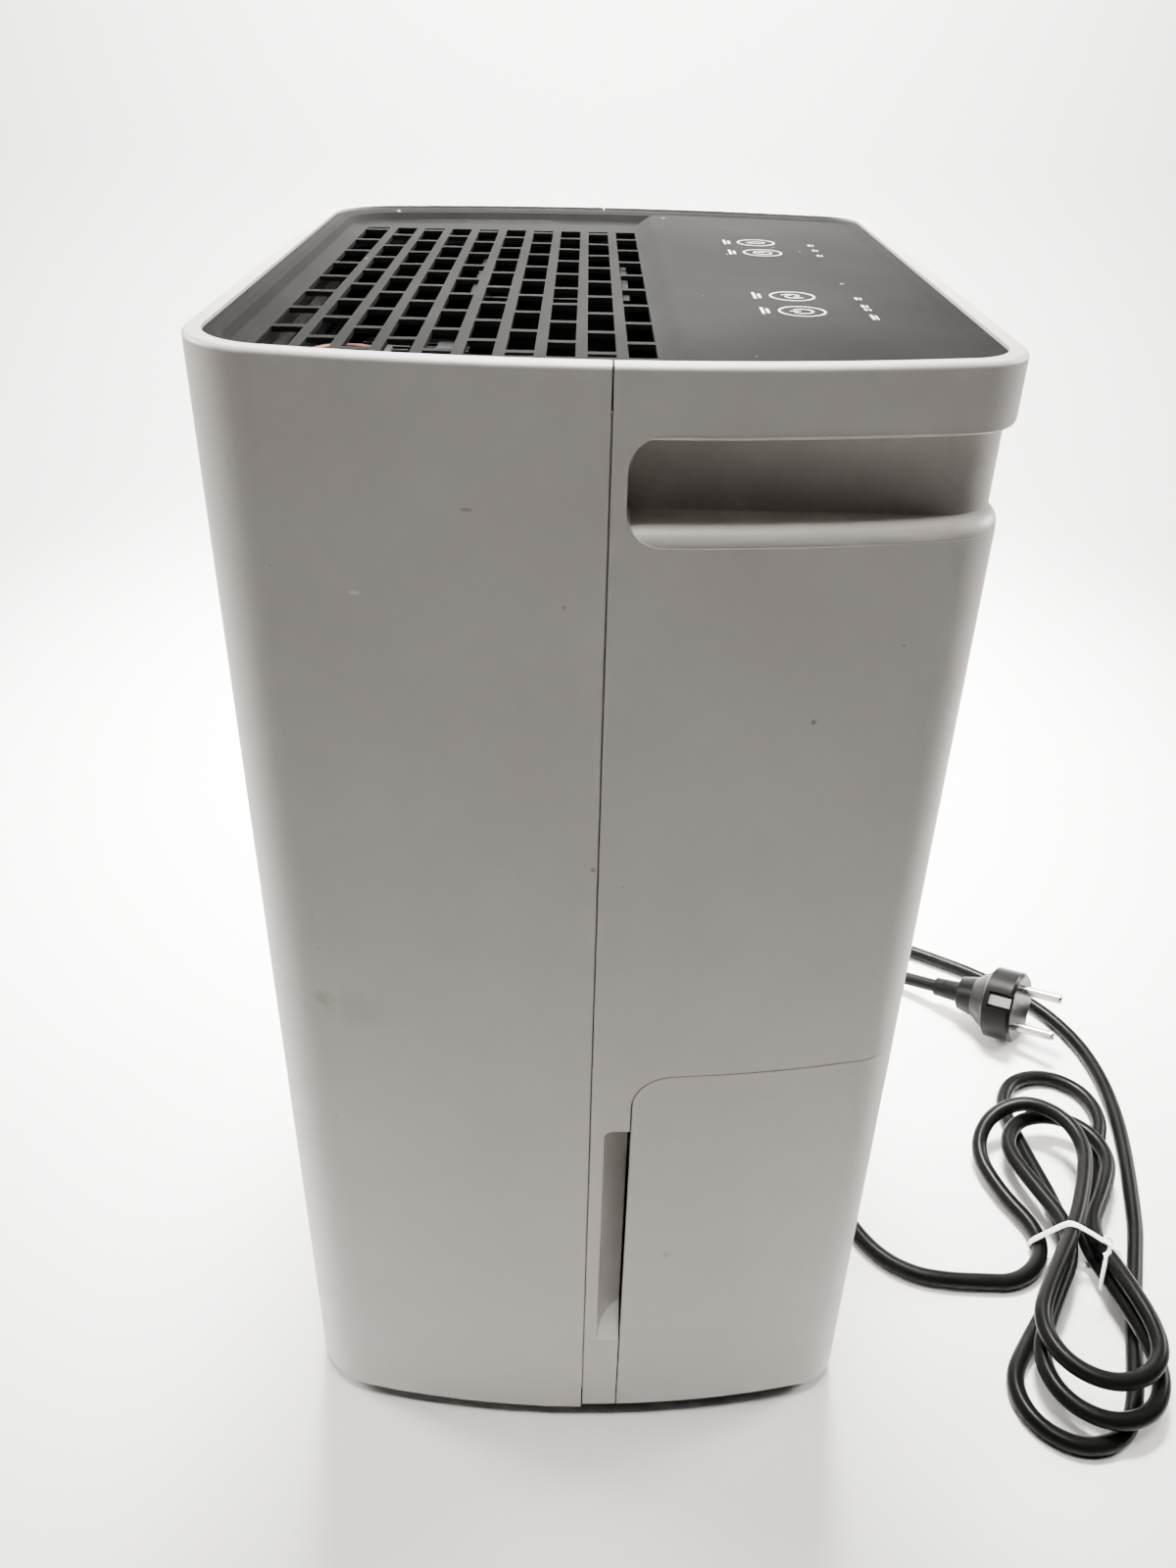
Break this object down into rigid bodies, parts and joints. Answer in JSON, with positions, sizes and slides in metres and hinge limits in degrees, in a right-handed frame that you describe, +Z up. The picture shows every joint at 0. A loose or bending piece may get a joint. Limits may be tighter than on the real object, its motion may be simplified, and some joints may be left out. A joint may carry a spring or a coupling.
{
  "type": "dehumidifier",
  "caption": "Upright compressor dehumidifier with an air outlet grille and touch deck on top, handle recesses, a pull-out water tank, a rear filter and a coiled mains lead with its plug.",
  "frame": {"origin": "on the floor under the middle of the cabinet", "axes": "+Z up, -Y to the front where the tank pulls out, +X to the side where the mains lead leaves"},
  "size_m": [0.348, 0.3638, 0.389],
  "materials": {
    "white_plastic": "satin moulded plastic",
    "grey_plastic": "fine satin moulded plastic",
    "black_plastic": "plain moulded plastic",
    "fan_plastic": "moulded plastic",
    "steel": "plated",
    "nickel": "nickel plated",
    "motor_paint": "zinc grey",
    "compressor_paint": "black enamel",
    "copper": "bare copper",
    "fins": "plain sheet",
    "board": "lacquered board",
    "capacitor": "smooth",
    "rubber": "matte",
    "tank_plastic": "smooth",
    "float_plastic": "foam",
    "filter_cloth": "fine net",
    "cord_sheath": "semi-gloss sheath",
    "tie": "coated wire"
  },
  "bodies": {
    "housing": {"rear_housing": "white_plastic", "front_housing": "white_plastic", "housing_screws": "steel", "top_panel": "grey_plastic", "touch_board": "board", "base_pan": "black_plastic", "rubber_feet": "rubber", "inner_frame": "black_plastic", "power_board": "board", "drip_tray": "black_plastic", "evaporator": "fins", "condenser": "fins", "evaporator_bends": "copper", "condenser_bends": "copper", "fan_scroll": "black_plastic", "fan_motor": "motor_paint", "compressor": "compressor_paint", "compressor_mounts": "rubber", "accumulator": "compressor_paint", "suction_elbow": "copper", "discharge_pipe": "copper", "suction_pipe": "copper", "capillary_tube": "copper", "run_capacitor": "capacitor", "level_sensor": "black_plastic", "cord_gland": "cord_sheath", "cord_lead": "cord_sheath", "cord_hank": "cord_sheath", "cord_tail": "cord_sheath", "cord_tie": "tie", "plug_body": "cord_sheath", "plug_pins": "nickel", "plug_earth": "steel"},
    "fan": {"fan_wheel": "fan_plastic", "fan_shaft": "steel"},
    "tank": {"tank_cover": "white_plastic", "tank_bucket": "tank_plastic", "tank_lid": "tank_plastic"},
    "float": {"tank_float": "float_plastic"},
    "inlet": {"inlet_grille": "white_plastic", "filter_frame": "grey_plastic", "filter_mesh": "filter_cloth"}
  },
  "joints": [
    {"name": "fan_spin", "type": "hinge", "parent": "housing", "child": "fan", "pos_m": [0, 0, 0.283], "axis": [0, 1, 0], "continuous": true},
    {"name": "tank_slide", "type": "slide", "parent": "housing", "child": "tank", "axis": [0, -1, 0], "range_m": [0, 0.075]},
    {"name": "float_pivot", "type": "hinge", "parent": "tank", "child": "float", "pos_m": [-0.06, -0.031, 0.142], "axis": [-1, 0, 0], "range_deg": [0, 20]},
    {"name": "inlet_slide", "type": "slide", "parent": "housing", "child": "inlet", "axis": [0, 1, 0], "range_m": [0, 0.03]}
  ]
}
